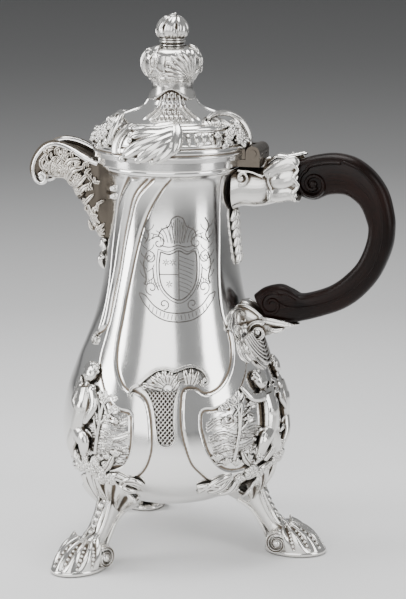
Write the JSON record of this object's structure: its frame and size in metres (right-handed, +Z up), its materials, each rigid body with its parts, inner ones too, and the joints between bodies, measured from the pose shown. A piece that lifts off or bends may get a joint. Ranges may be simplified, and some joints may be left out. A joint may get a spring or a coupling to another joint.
{
  "type": "coffee pot",
  "caption": "Pear-shaped rococo coffee pot on shell feet with a beak spout, hinged domed lid, bud finial and C-shaped wooden handle.",
  "frame": {"origin": "middle of the footprint box at table height, 20 mm from the body's axis on the handle's side", "axes": "+Z up, +X towards the handle, -X towards the spout"},
  "size_m": [0.1899, 0.146, 0.2768],
  "materials": {
    "polished_silver": "bright hand-polished silver with grey patina in the hollows",
    "cast_silver": "cast and chased silver, polished on its high points and dark in its recesses",
    "plain_silver": "plain silver of the hidden hardware, softly brushed",
    "dark_wood": "nearly black stained hardwood, waxed to a soft shine"
  },
  "bodies": {
    "pot": {"body_shell": "polished_silver", "mouth_band": "polished_silver", "mouth_bead": "polished_silver", "hinge_bracket": "plain_silver", "hinge_pin": "plain_silver", "spout": "cast_silver", "spout_festoon": "cast_silver", "wood_handle": "dark_wood", "upper_socket": "cast_silver", "lower_socket": "cast_silver", "upper_socket_pin": "plain_silver", "lower_socket_pin": "plain_silver", "handle_strap": "cast_silver", "handle_fan": "cast_silver", "foot_1": "cast_silver", "knee_leaf_1": "cast_silver", "foot_2": "cast_silver", "knee_leaf_2": "cast_silver", "foot_3": "cast_silver", "knee_leaf_3": "cast_silver", "cherub_1": "cast_silver", "cherub_2": "cast_silver", "cherub_3": "cast_silver", "cherub_4": "cast_silver"},
    "lid": {"lid_dome": "polished_silver", "lid_bezel": "plain_silver", "lid_hinge_plate": "plain_silver", "finial_knop": "cast_silver", "finial_collar": "cast_silver", "finial_bud": "cast_silver", "finial_bolt": "plain_silver", "finial_washer": "plain_silver", "finial_nut": "plain_silver", "lid_spray_near": "cast_silver", "lid_spray_far": "cast_silver", "lid_scroll_hinge_side": "cast_silver", "lid_scroll_spout_side": "cast_silver", "lid_scroll_far_side": "cast_silver"}
  },
  "joints": [
    {"name": "lid_hinge", "type": "hinge", "parent": "pot", "child": "lid", "pos_m": [0.0242, 0, 0.2082], "axis": [0, 1, 0], "range_deg": [0, 105]}
  ]
}
